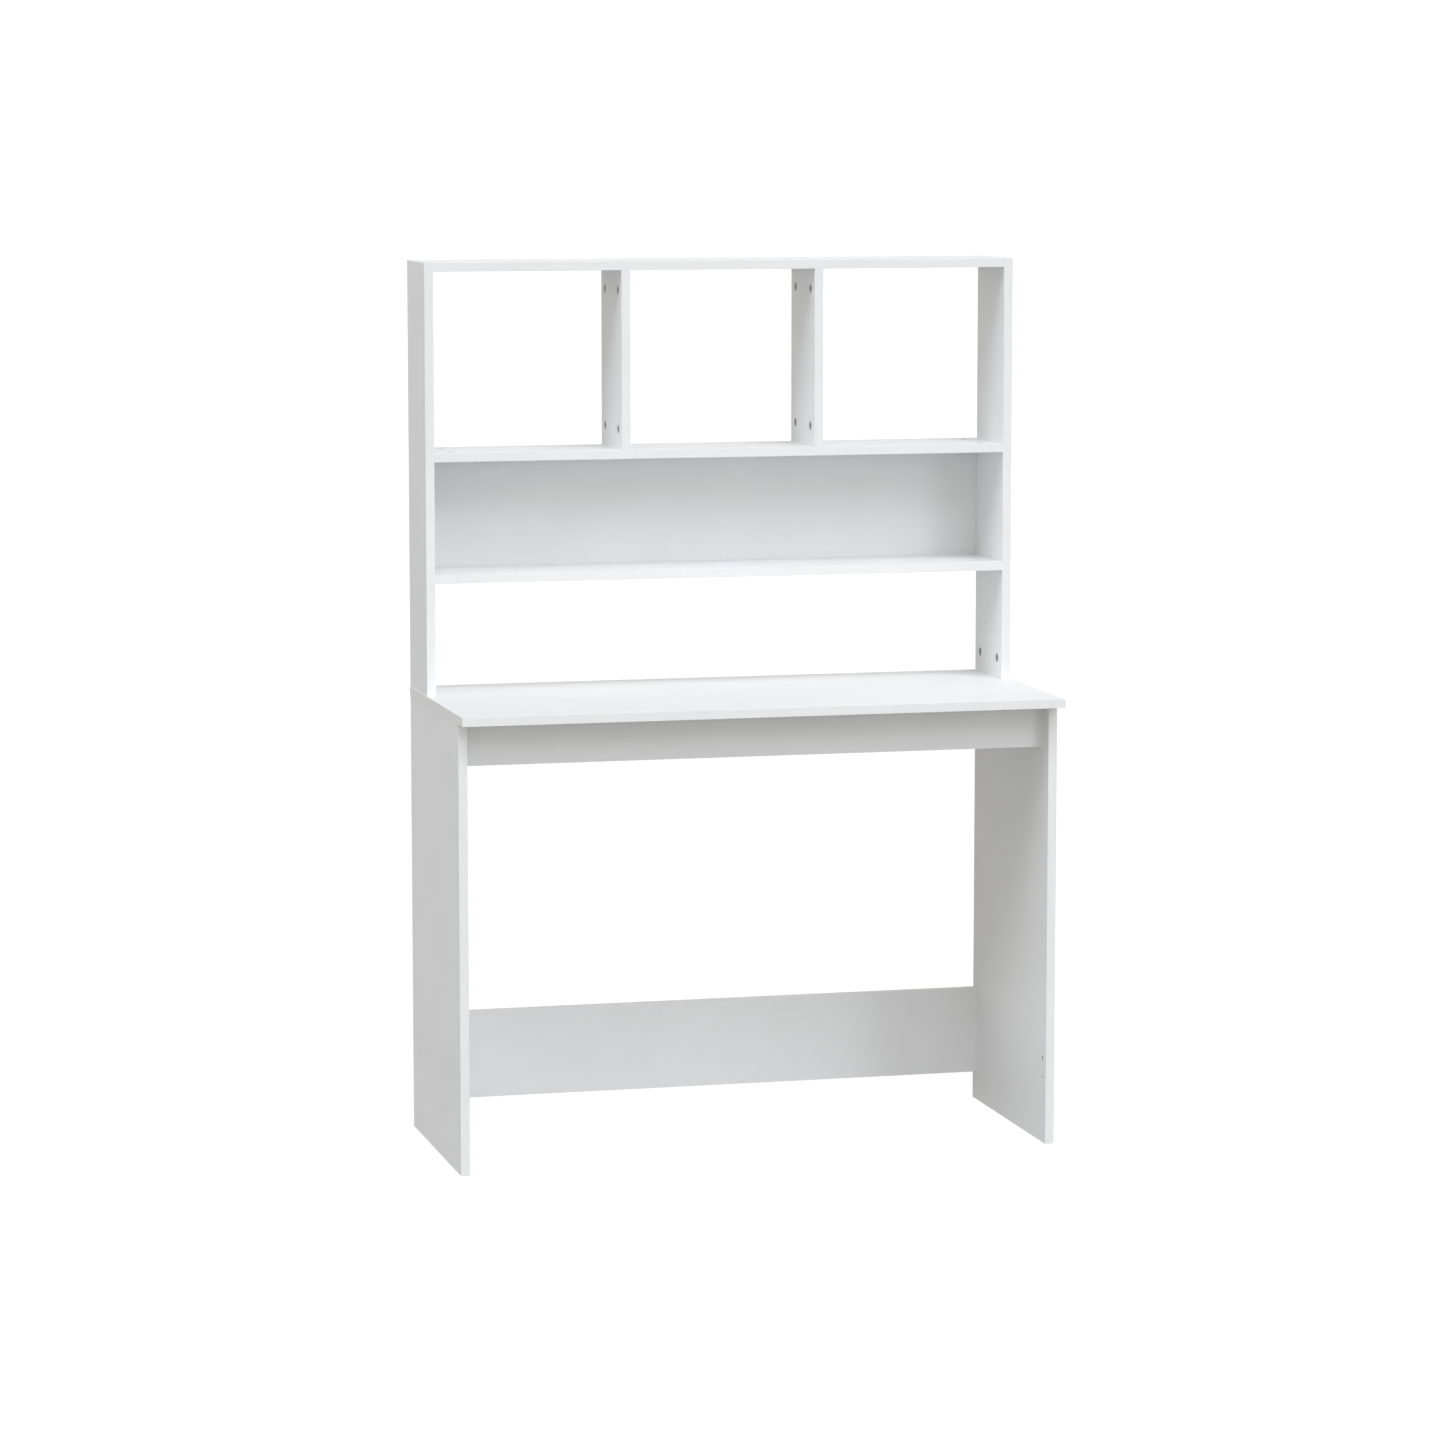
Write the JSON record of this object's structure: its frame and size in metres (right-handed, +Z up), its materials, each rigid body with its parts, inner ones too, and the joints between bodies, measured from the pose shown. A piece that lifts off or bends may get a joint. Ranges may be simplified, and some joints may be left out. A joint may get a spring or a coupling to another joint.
{
  "type": "student desk with hutch",
  "caption": "Flat-pack student desk on panel legs with an apron, a modesty panel and an open shelf hutch standing on its desktop, its boards joined by cam locks, cam bolts and dowels.",
  "frame": {"origin": "on the floor, under the centre of the whole desk's box", "axes": "+X to the seated user's right, +Y away from the user towards the wall, +Z up"},
  "size_m": [1.02, 0.4538, 1.48],
  "materials": {
    "faced_board": "white melamine-faced particle board, satin",
    "edge_tape": "white ABS edge tape, satin",
    "back_sheet": "hardboard, white lacquered front",
    "cam_zinc": "die-cast zinc, dull",
    "bolt_steel": "zinc-plated steel",
    "nail_steel": "bright steel wire",
    "dowel_wood": "beech, bare"
  },
  "bodies": {
    "root": {"desktop_panel": "faced_board", "left_leg_panel": "faced_board", "right_leg_panel": "faced_board", "front_apron": "faced_board", "modesty_panel": "faced_board", "hutch_left_side": "faced_board", "hutch_right_side": "faced_board", "hutch_top_panel": "faced_board", "upper_shelf": "faced_board", "lower_shelf": "faced_board", "left_divider": "faced_board", "right_divider": "faced_board", "hutch_back_panel": "back_sheet", "desktop_panel_edge_tape": "edge_tape", "left_leg_panel_edge_tape": "edge_tape", "right_leg_panel_edge_tape": "edge_tape", "front_apron_edge_tape": "edge_tape", "modesty_panel_edge_tape": "edge_tape", "hutch_left_side_edge_tape": "edge_tape", "hutch_right_side_edge_tape": "edge_tape", "hutch_top_panel_edge_tape": "edge_tape", "upper_shelf_edge_tape": "edge_tape", "lower_shelf_edge_tape": "edge_tape", "left_divider_edge_tape": "edge_tape", "right_divider_edge_tape": "edge_tape", "leg_top_cam_locks": "cam_zinc", "leg_top_cam_bolts": "bolt_steel", "leg_top_dowels": "dowel_wood", "apron_cam_locks": "cam_zinc", "apron_cam_bolts": "bolt_steel", "apron_dowels": "dowel_wood", "modesty_cam_locks": "cam_zinc", "modesty_cam_bolts": "bolt_steel", "modesty_dowels": "dowel_wood", "hutch_foot_cam_locks": "cam_zinc", "hutch_foot_cam_bolts": "bolt_steel", "hutch_foot_dowels": "dowel_wood", "lower_shelf_cam_locks": "cam_zinc", "lower_shelf_cam_bolts": "bolt_steel", "lower_shelf_dowels": "dowel_wood", "upper_shelf_cam_locks": "cam_zinc", "upper_shelf_cam_bolts": "bolt_steel", "upper_shelf_dowels": "dowel_wood", "hutch_top_cam_locks": "cam_zinc", "hutch_top_cam_bolts": "bolt_steel", "hutch_top_dowels": "dowel_wood", "divider_cam_locks": "cam_zinc", "divider_cam_bolts": "bolt_steel", "divider_dowels": "dowel_wood", "back_panel_nails": "nail_steel"}
  },
  "joints": []
}
